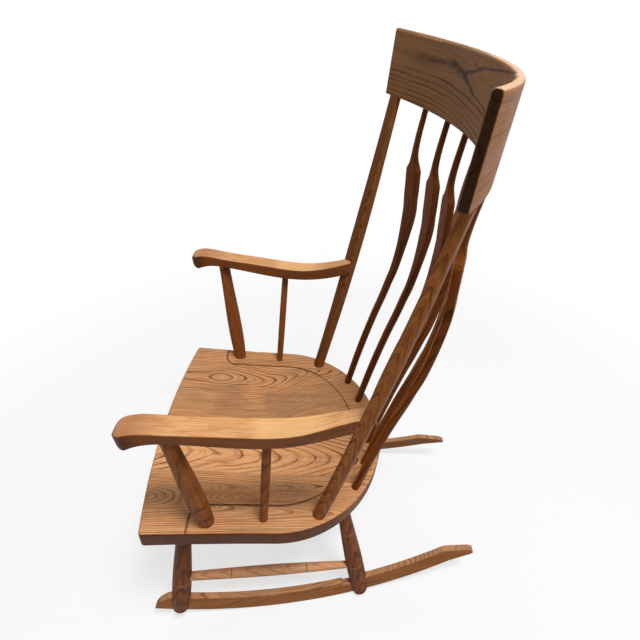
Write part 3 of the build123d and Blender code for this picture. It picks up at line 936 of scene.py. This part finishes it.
@dataclass(frozen=True)
class ArrowSpindle:
    """An arrow spindle bent towards the back, made by a Geometry Nodes tree, in millimetres.

    The ends are shares of the way from foot to head, past both, and a cap closes each within a share of a
    row. The curves give shares of the bow, the widest, the deepest and the squarest along the way, where 2
    is round and more is squarer. The seam trims the sine and the cosine, so that the mesh meets itself.
    """

    around: int = 40
    rows: int = 230
    ends: Pair = (-0.03, 1.012)
    cap: float = 0.4
    widest: float = 36.0
    deepest: float = 16.4
    squarest: float = 9.0
    step: float = 0.01
    seam: float = 0.00001
    merge: float = 0.01
    crease: float = math.radians(20.0)
    bends: Curve = (
        (0.0, 0.0), (0.15, 0.18), (0.3, 0.46), (0.45, 0.84), (0.56, 1.0),
        (0.66, 0.93), (0.76, 0.62), (0.84, 0.3), (0.92, 0.04), (1.0, 0.0),
    )
    widths: Curve = (
        (0.0, 0.444), (0.16, 0.486), (0.3, 0.468), (0.45, 0.452), (0.55, 0.5), (0.63, 0.69), (0.7, 0.915),
        (0.77, 0.985), (0.834, 1.0, CRISP), (0.848, 0.68, CRISP), (0.864, 0.44), (0.884, 0.335),
        (0.93, 0.305), (1.0, 0.283),
    )
    depths: Curve = (
        (0.0, 0.975), (0.16, 0.985), (0.3, 0.95), (0.45, 0.9), (0.63, 0.84), (0.834, 0.815, CRISP),
        (0.858, 0.72), (0.884, 0.69), (0.93, 0.665), (1.0, 0.622),
    )
    squares: Curve = (
        (0.0, 0.222), (0.3, 0.25), (0.45, 0.33), (0.55, 0.5), (0.63, 0.8), (0.7, 0.95), (0.834, 1.0),
        (0.852, 0.85), (0.87, 0.5), (0.895, 0.3), (0.93, 0.25), (1.0, 0.235),
    )

    def tree(self) -> ShapeGraph:
        """Build the tree: a grid rolled round the spindle's bent line.

        Returns:
            The tree, with inputs Foot, Head, Across, Bow and Finish.
        """
        inputs = dict.fromkeys(("Foot", "Head", "Across"), "NodeSocketVector")
        inputs |= {"Bow": "NodeSocketFloat", "Finish": "NodeSocketMaterial"}
        graph = ShapeGraph("arrow_spindle", inputs)
        sizes = {"Size X": 1.0, "Size Y": 1.0, "Vertices X": self.around + 1, "Vertices Y": self.rows}
        grid = graph.node("GeometryNodeMeshGrid", {}, sizes).outputs["Mesh"]
        flat = Arrow(graph, graph.node("GeometryNodeInputPosition").outputs[0])
        turn = (flat.dot((1.0, 0.0, 0.0)) + 0.5) * (2 * math.pi)
        row = flat.dot((0.0, 1.0, 0.0)) + 0.5
        share = row.span(*self.ends)

        back = graph.join(0.0, 1.0, 0.0) * graph.number("Bow")
        foot, head = graph.vector("Foot"), graph.vector("Head")
        centre = foot * (1 - share) + head * share + back * graph.line(share, self.bends)
        lean = graph.line(share + self.step, self.bends) - graph.line(share - self.step, self.bends)
        tangent = ((head - foot) * (2 * self.step) + back * lean).unit()
        across = graph.vector("Across")

        cap = self.cap / self.rows
        closed = row.rise(0.0, cap) * row.rise(1.0, 1.0 - cap)
        wide = graph.line(share, self.widths) * (self.widest / 2) * closed
        thick = graph.line(share, self.depths) * (self.deepest / 2) * closed
        power = 2 / (graph.line(share, self.squares) * self.squarest)
        x, y = (
            graph.maths("SIGN", wave) * (wave.size() - self.seam).most(0.0) ** power * half
            for wave, half in ((graph.maths("COSINE", turn), wide), (graph.maths("SINE", turn), thick))
        )
        place = (centre + across * x + tangent.cross(across).unit() * y) * MM

        shape = graph.step("GeometryNodeSetPosition", grid, {}, Position=place)
        shape = graph.step("GeometryNodeMergeByDistance", shape, {}, Distance=self.merge * MM)
        angle = Term(graph, graph.node("GeometryNodeInputMeshEdgeAngle").outputs[0])
        sharp = graph.maths("GREATER_THAN", angle, self.crease)
        shade = "GeometryNodeSetShadeSmooth"
        shape = graph.step(shade, shape, {"domain": "FACE"}, Shade_Smooth=True)
        shape = graph.step(shade, shape, {"domain": "EDGE"}, Selection=sharp, Shade_Smooth=False)
        shape = graph.step("GeometryNodeRealizeInstances", shape, {})
        shape = graph.step("GeometryNodeSetMaterial", shape, {}, Material=graph.entry.outputs["Finish"])
        graph.node("NodeGroupOutput", {}, {"Geometry": shape})
        return graph


def grown(name: str, graph: ShapeGraph, inputs: dict[str, Any]) -> bpy.types.Object:
    """Make a plain mesh piece from a Geometry Nodes tree.

    Args:
        name: The piece's name.
        graph: The tree.
        inputs: Its inputs by name.

    Returns:
        The piece, with no modifier left on it.
    """
    seed = placed(f"{name}_seed", bpy.data.meshes.new(f"{name}_seed"))
    modifier = seed.modifiers.new("shape", "NODES")
    modifier.node_group = graph.tree
    for label, value in inputs.items():
        modifier[graph.keys[label]] = value
    seen = seed.evaluated_get(bpy.context.evaluated_depsgraph_get())
    mesh = bpy.data.meshes.new_from_object(seen)
    bpy.data.objects.remove(seed)
    return placed(name, mesh)


# ---- the back
@dataclass
class Back:
    """The bent crest rail, the two bent posts and the six arrow spindles, in millimetres."""

    crest_centre: Point = (0.0, -218.45, 1087.51)
    crest_radius: float = 476.0
    crest_thick: float = 13.0
    crest_tilt: float = 7.0
    crest_phase: float = 0.35
    crest_front: Pair = (0.2, 0.6)
    crest_plain: Pair = (52.0, 66.0)
    crest_plain_share: float = 0.9
    crest_rear: Pair = (-0.2, -0.6)
    crest_rear_levels: Pair = (0.35, 0.8)
    crest_rear_colour: Colour = (192, 118, 58)
    # Painted highlight: the crest's top edge is paled to a creamy colour over part of its length.
    crest_edge: Pair = (0.5, 0.85)
    crest_top: Pair = (60.0, 90.0)
    crest_rubbed: Pair = (-90.0, 40.0)
    crest_rub_strength: float = 0.7
    crest_rub: Colour = (232, 192, 156)
    crest_dark: Colour = (54, 30, 18)
    crest_streaks: tuple[Stroke, ...] = (
        Stroke((-232.0, 74.0), (-120.0, 81.0), 9.0, 0.4, 16.0),
        Stroke((-200.0, 75.0), (-110.0, 81.0), 2.6, 0.6, 12.0),
        Stroke((-126.0, 80.0), (-76.0, 71.0), 11.0, 0.45, 14.0),
        Stroke((-122.0, 80.0), (-78.0, 72.0), 5.0, 0.9, 15.0),
        Stroke((-86.0, 74.0), (-20.0, 91.0), 3.4, 0.85, 9.0),
        Stroke((-20.0, 91.0), (152.0, 107.0), 2.4, 0.85, 4.0),
        Stroke((-84.0, 72.0), (-36.0, 54.0), 4.6, 0.9, 11.0),
        Stroke((-36.0, 54.0), (60.0, 42.0), 2.4, 0.8, 3.0),
        Stroke((-60.0, 92.0), (-34.0, 84.0), 1.6, 0.6, 6.0),
    )
    post_ends: Ends = ((216.0, 9.5, 383.4), (268.0, 179.8, 1038.6))
    post_face: Point = (1.0, -0.3, 0.0)
    post_phases: Pair = (0.7, 0.3)
    # Painted light: the left post's colour is lifted well above the right one's, standing in for light on its
    # face.
    post_levels: Pair = (1.62, 1.02)
    spindle_feet: tuple[Point, ...] = ((31.0, 123.5, 370.3), (93.0, 109.5, 371.9), (155.0, 85.5, 374.6))
    spindle_heads: tuple[Point, ...] = ((37.0, 259.2, 1030.4), (111.0, 247.8, 1031.8), (185.0, 224.0, 1034.7))
    spindle_bow: float = 32.0
    spindle_phase: float = 0.37
    # Painted light: the left spindles are painted lighter than the right ones.
    spindle_levels: Pair = (1.45, 0.95)

    def crest(self) -> None:
        """Dress the crest rail: long lines low on the face, a forked dark streak above and a painted
        highlight along the top edge.
        """
        lean, rise = math.sin(math.radians(self.crest_tilt)), math.cos(math.radians(self.crest_tilt))
        cut = Cut(
            origin=self.crest_centre, along=(0.0, rise, -lean), face=(0.0, lean, rise),
            heart=75.0, ring=7.3, arch=900.0, wander=0.3, line=0.34,
            drift=24.0, drift_span=(-190.0, 130.0), phase=self.crest_phase,
        )
        wood = Wood("crest_rail", Finish.CREST)
        grain = HoopGrain(wood.graph, cut, self.crest_radius)
        front, rear = grain.face_on.rise(*self.crest_front), grain.face_on.rise(*self.crest_rear)
        wood.plain = grain.v.rise(*self.crest_plain) * front * self.crest_plain_share
        streaked = grain.mask(FIGURE.streaks).span(*self.crest_rear_levels)
        wood.mark(rear * streaked, self.crest_rear_colour)
        # Painted highlight along the top edge.
        top = grain.edge_on.rise(*self.crest_edge) * grain.v.rise(*self.crest_top)
        wood.mark(top * grain.u.rise(*self.crest_rubbed) * self.crest_rub_strength, self.crest_rub)
        for stroke in self.crest_streaks:
            wood.mark(stroke.mask(grain) * front, self.crest_dark)
        wood.dress(grain)

    def posts(self) -> None:
        """Dress the two posts, with arches up their faces."""
        for side in Side:
            cut = stick_cut(
                side, *self.post_ends, self.post_face,
                depth=5.0, ring=3.4, arch=38.0, wander=0.7, line=0.3, phase=side.of(self.post_phases),
            )
            wood = Wood(f"{side.word}_back_post", Finish.POST, side.of(self.post_levels))
            wood.dress(Grain(wood.graph, cut))

    def spindles(self) -> None:
        """Grow the six spindles round the lines of their CAD nodes, and dress them."""
        shape = ArrowSpindle()
        graph = shape.tree()
        reach = self.crest_radius + self.crest_thick / 2
        for place, (foot, head) in enumerate(zip(self.spindle_feet, self.spindle_heads)):
            length = (Vector(head) - Vector(foot)).length
            across = Vector((math.sqrt(reach**2 - head[0] ** 2), -head[0], 0.0)).normalized()
            for side in Side:
                number = 4 + place if side is Side.LEFT else 3 - place
                cut = stick_cut(
                    side, foot, head, (0.0, -1.0, 0.0), heart=4.0, depth=8.0, ring=3.2, arch=200.0,
                    wander=0.4, phase=self.spindle_phase * number,
                )
                wood = Wood(f"arrow_spindle_{number}", Finish.SPINDLE, side.of(self.spindle_levels))
                grain = CurvedGrain(wood.graph, cut, length, self.spindle_bow, shape.bends)
                inputs = {
                    "Foot": side.mirrored(foot), "Head": side.mirrored(head), "Across": side.mirrored(across),
                    "Bow": self.spindle_bow, "Finish": wood.material(grain),
                }
                piece = grown(wood.piece, graph, inputs)
                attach(piece, "root")
                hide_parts(f"back_spindle_{number}")
                LOG.info("made %s with %d faces", piece.name, len(piece.data.polygons))

    def build(self) -> None:
        """Dress the whole back."""
        self.crest()
        self.posts()
        self.spindles()


# ---- the arms
@dataclass
class Arms:
    """The two sawn arms with their turned posts and spindles, in millimetres."""

    arm_ends: Ends = ((254.0, -275.5, 690.0), (233.0, 92.5, 684.0))
    arm_hearts: Pair = (-60.0, 60.0)
    # Painted light: the left arm is painted a little lighter than the right one.
    arm_levels: Pair = (1.02, 0.94)
    arm_top: Pair = (0.3, 0.7)
    # Painted shade: the top darkens towards the nose, and darker still where the nose rolls down. The nose
    # colour also darkens the right arm's rear end.
    nose_dark: Pair = (95.0, 20.0)
    nose_levels: Pair = (0.5, 0.9)
    nose_colour: Colour = (168, 114, 74)
    nose_end: Pair = (50.0, 12.0)
    nose_roll: Pair = (0.95, 0.6)
    nose_shade_strength: float = 0.75
    nose_shade: Colour = (72, 36, 10)
    rear_dark: Pair = (262.0, 300.0)
    rear_strengths: Pair = (0.0, 0.4)
    # Painted highlight: a pale gold patch on the middle of the arm's top, where the lamp's reflection lies.
    gold_start: Pair = (185.0, 215.0)
    gold_end: Pair = (325.0, 265.0)
    gold_levels: Pair = (0.35, 0.7)
    gold_colour: Colour = (240, 192, 128)
    post_ends: Ends = ((234.0, -201.5, 407.7), (255.0, -205.5, 684.0))
    spindle_ends: Ends = ((228.0, -96.5, 395.6), (244.0, -61.5, 656.0))
    support_face: Point = (1.0, 0.2, 0.0)
    support_phases: Pair = (0.2, 0.7)
    # Painted light: the left post and spindle under the arm are painted lighter than the right ones.
    support_levels: Pair = (1.16, 1.02)

    def arm(self, side: Side) -> None:
        """Dress one arm, with painted shade at its nose and a painted highlight on the middle of its top.

        Args:
            side: The side it is on.
        """
        cut = stick_cut(
            side, *self.arm_ends, (0.0, 0.0, 1.0),
            heart=side.of(self.arm_hearts), depth=30.0, ring=3.4, arch=120.0, wander=0.5, phase=0.4,
        )
        wood = Wood(f"{side.word}_arm", Finish.ARM, side.of(self.arm_levels))
        grain = Grain(wood.graph, cut)
        top, cloud = grain.face_on.rise(*self.arm_top), grain.mask(FIGURE.clouds)
        # Painted shade: the top darkens, mottled, towards the nose, and more where the nose rolls down from
        # the top.
        wood.mark(grain.u.rise(*self.nose_dark) * cloud.span(*self.nose_levels) * top, self.nose_colour)
        rolled = grain.u.rise(*self.nose_end) * grain.face_on.rise(*self.nose_roll)
        wood.mark(rolled * self.nose_shade_strength, self.nose_shade)
        wood.mark(grain.u.rise(*self.rear_dark) * top * side.of(self.rear_strengths), self.nose_colour)
        # Painted highlight on the middle of the top, mottled.
        arm_highlight = grain.u.rise(*self.gold_start) * grain.u.rise(*self.gold_end)
        wood.mark(arm_highlight * cloud.span(*self.gold_levels) * top, self.gold_colour)
        wood.dress(grain)

    def supports(self, side: Side) -> None:
        """Dress the turned post and spindle under one arm.

        Args:
            side: The side they are on.
        """
        sticks = (("arm_post", self.post_ends), ("arm_spindle", self.spindle_ends))
        for (name, ends), phase in zip(sticks, self.support_phases):
            cut = stick_cut(
                side, *ends, self.support_face,
                heart=2.0, depth=9.0, ring=3.0, arch=50.0, wander=0.7, phase=phase,
            )
            wood = Wood(f"{side.word}_{name}", Finish.SUPPORT, side.of(self.support_levels))
            wood.dress(Grain(wood.graph, cut))

    def build(self) -> None:
        """Dress both sides."""
        for side in Side:
            self.arm(side)
            self.supports(side)


# ---- the base
@dataclass(frozen=True)
class Turning:
    """A turned stick of the base, with {} for its side in its name where it is one of a pair.

    The scribes are where its rings lie, as shares of the way along its axis.
    """

    name: str
    ends: Ends
    scribes: Pair
    finish: Finish


@dataclass
class Base:
    """Legs, stretchers, rockers and rocker pins, in millimetres."""

    front_leg: Ends = ((237.7, -328.5, 37.2), (177.0, -262.5, 372.7))
    rear_leg: Ends = ((206.5, 100.0, 13.2), (147.0, 53.0, 336.4))
    side_stretcher: Ends = ((217.7, -303.1, 145.8), (190.3, 83.0, 103.1))
    front_cross: Ends = ((194.6, -284.9, 258.6), (-194.6, -284.9, 258.6))
    rear_cross: Ends = ((164.2, 69.0, 226.5), (-164.2, 69.0, 226.5))
    turnings: tuple[Turning, ...] = (
        Turning("front_{}_leg", front_leg, (0.31, 0.65), Finish.LEG),
        Turning("rear_{}_leg", rear_leg, (0.31, 0.65), Finish.LEG),
        Turning("{}_side_stretcher", side_stretcher, (0.27, 0.71), Finish.STRETCHER),
        Turning("front_cross_stretcher", front_cross, (0.3, 0.7), Finish.STRETCHER),
        Turning("rear_cross_stretcher", rear_cross, (0.3, 0.7), Finish.STRETCHER),
    )
    stick_face: Point = (0.9, 0.1, 0.4)
    stick_phase: float = 0.4
    side_phases: Pair = (0.15, -0.15)
    ring_edge: Pair = (1.4, 0.4)
    ring_strength: float = 0.7
    rocker_outer_x: float = 232.0
    rocker_along: Point = (-0.083, 1.0, 0.0)
    rocker_face: Point = (1.0, 0.083, 0.1835)

    def turning(self, piece: Turning, side: Side, phase: float) -> None:
        """Dress one turned stick, with its scribed rings.

        Args:
            piece: The stick.
            side: The side it is on.
            phase: Where its growth rings start.
        """
        cut = stick_cut(
            side, *piece.ends, self.stick_face,
            heart=3.0, depth=10.0, ring=3.4, arch=48.0, wander=0.7, phase=phase,
        )
        wood = Wood(piece.name.format(side.word), piece.finish)
        grain = Grain(wood.graph, cut)
        for place in piece.scribes:
            ring = (grain.u - place * Vector(cut.along).length).size().rise(*self.ring_edge)
            wood.mark(ring * self.ring_strength, wood.stain.scribed)
        wood.dress(grain)

    def rocker(self, side: Side) -> None:
        """Dress one rocker, whose grain runs straight through its curve.

        Args:
            side: The side it is on.
        """
        cut = Cut(
            origin=side.mirrored((self.rocker_outer_x, 0.0, 0.0)), along=side.mirrored(self.rocker_along),
            face=side.mirrored(self.rocker_face), heart=-40.0, depth=30.0, arch=150.0, phase=0.3,
        )
        wood = Wood(f"{side.word}_rocker", Finish.ROCKER)
        wood.dress(Grain(wood.graph, cut))

    def pins(self, side: Side) -> None:
        """Dress the two rocker pins of one side, which show their end grain.

        Args:
            side: The side they are on.
        """
        for place, leg in (("front", self.front_leg), ("rear", self.rear_leg)):
            cut = Cut(
                origin=side.mirrored(leg[0]), along=side.mirrored(self.rocker_face), face=(0.0, 0.0, 1.0),
                depth=6.0, ring=1.2, arch=30.0, wander=0.3,
            )
            wood = Wood(f"{place}_{side.word}_rocker_pin", Finish.PIN)
            wood.dress(Grain(wood.graph, cut))

    def build(self) -> None:
        """Dress the whole base."""
        for number, piece in enumerate(self.turnings):
            for side in Side if "{}" in piece.name else (Side.LEFT,):
                self.turning(piece, side, self.stick_phase * number + side.of(self.side_phases))
        for side in Side:
            self.rocker(side)
            self.pins(side)


# ---- studio and camera
@dataclass
class Studio:
    """A white floor and backdrop that keep a soft shadow, and soft lamps at a plain level, in metres."""

    floor_radius: float = 12.0
    floor_sides: int = 96
    shadow_reach: Pair = (0.9, 1.7)
    floor_grey: float = 0.34
    fill: float = 0.27
    key_power: float = 100.0
    key_size: float = 0.9
    key_place: Point = (0.96, 0.9, 3.8)
    lamp_aim: Point = (0.0, -0.05, 0.45)
    side_power: float = 10.0
    side_size: float = 1.8
    side_place: Point = (-1.6, -1.6, 1.9)

    @staticmethod
    def seen(graph: Graph) -> Term:
        """Tell what is looked at from what lights the chair.

        Args:
            graph: The graph of the floor or the room.

        Returns:
            1 for the camera, mirrors and glass, and 0 for light that falls on the chair.
        """
        path = graph.node("ShaderNodeLightPath")
        kinds = ("Is Camera Ray", "Is Glossy Ray", "Is Transmission Ray")
        camera, mirror, glass = (Term(graph, path.outputs[kind]) for kind in kinds)
        return camera.most(mirror).most(glass)

    def floor(self) -> None:
        """Build the floor: a wide round sheet whose white fades to plain emission far out."""
        radius, steps = self.floor_radius, range(self.floor_sides)
        turns = [2 * math.pi * step / self.floor_sides for step in steps]
        rim = [(radius * math.cos(turn), radius * math.sin(turn), 0.0) for turn in turns]
        mesh = bpy.data.meshes.new("floor")
        mesh.from_pydata(rim, [], [tuple(steps)])
        graph = Graph("floor_white")
        place, seen = graph.place() * MM, self.seen(graph)
        far = place.dot(place).root().rise(*self.shadow_reach)
        matt = graph.node("ShaderNodeBsdfDiffuse", {}, {"Color": (*(self.floor_grey,) * 3, 1.0)}).outputs[0]
        shine = {"Color": WHITE, "Strength": seen * (1 - self.floor_grey)}
        glow = graph.node("ShaderNodeEmission", {}, shine).outputs[0]
        near = graph.node("ShaderNodeAddShader", {}, {0: matt, 1: glow}).outputs[0]
        white = graph.node("ShaderNodeEmission", {}, {"Color": WHITE, "Strength": 1.0}).outputs[0]
        mixed = graph.node("ShaderNodeMixShader", {}, {0: far * seen, 1: near, 2: white})
        graph.node("ShaderNodeOutputMaterial", {}, {"Surface": mixed.outputs[0]})
        mesh.materials.append(graph.owner)
        placed("floor", mesh)

    def world(self) -> None:
        """A white room to look at, and a soft even fill for the light."""
        graph = Graph("studio", world=True)
        bpy.context.scene.world = graph.owner
        strength = self.seen(graph) * (1 - self.fill) + self.fill
        background = graph.node("ShaderNodeBackground", {}, {"Color": WHITE, "Strength": strength})
        graph.node("ShaderNodeOutputWorld", {}, {"Surface": background.outputs[0]})

    def lamp(self, name: str, power: float, size: float, place: Point) -> None:
        """Hang a soft square lamp that points at the chair.

        Args:
            name: Its name.
            power: Its power in watts.
            size: Its side.
            place: Where it hangs.
        """
        data = bpy.data.lights.new(name, "AREA")
        data.energy = power
        data.size = size
        lamp = placed(name, data)
        lamp.location = place
        lamp.rotation_mode = "QUATERNION"
        lamp.rotation_quaternion = (Vector(self.lamp_aim) - Vector(place)).to_track_quat("-Z", "Y")

    def build(self) -> None:
        """Make the floor, the room and the lamps."""
        self.floor()
        self.world()
        self.lamp("key_lamp", self.key_power, self.key_size, self.key_place)
        self.lamp("side_lamp", self.side_power, self.side_size, self.side_place)
        bpy.context.scene.view_settings.view_transform = "Standard"
        LOG.info("studio ready")


@dataclass
class Camera:
    """The camera, high on the sitter's left: angles in degrees, its place in metres, the rest in pixels."""

    azimuth: float = 86.429
    elevation: float = 37.913
    roll: float = 0.727
    place: Point = (0.681328, 0.03485, 1.215477)
    focal: float = 443.879
    middle: Pair = (348.865, 325.87)
    image: float = 640.0
    sensor_mm: float = 36.0
    nearest_m: float = 0.02

    def build(self) -> None:
        """Set the camera up and make it the scene's own."""
        turn, rise, roll = (math.radians(angle) for angle in (self.azimuth, self.elevation, self.roll))
        back = Vector((math.sin(turn) * math.cos(rise), -math.cos(turn) * math.cos(rise), math.sin(rise)))
        level = Vector((0.0, 0.0, 1.0)).cross(back).normalized()
        upright = back.cross(level)
        right = math.cos(roll) * level + math.sin(roll) * upright
        up = math.cos(roll) * upright - math.sin(roll) * level
        matrix = Matrix((right, up, back)).transposed().to_4x4()
        matrix.translation = Vector(self.place)
        data = bpy.data.cameras.new("camera")
        data.sensor_width = self.sensor_mm
        data.lens = self.focal / self.image * self.sensor_mm
        data.shift_x = (self.image / 2 - self.middle[0]) / self.image
        data.shift_y = (self.middle[1] - self.image / 2) / self.image
        data.clip_start = self.nearest_m
        camera = placed("camera", data)
        camera.matrix_world = matrix
        bpy.context.scene.camera = camera
        LOG.info("camera ready")


def main() -> None:
    """Build the finishes, the spindles, the studio and the camera."""
    logging.basicConfig(level=logging.INFO, format="%(message)s")
    for assembly in (Seat(), Back(), Arms(), Base(), Studio(), Camera()):
        assembly.build()


if __name__ == "__main__":
    main()
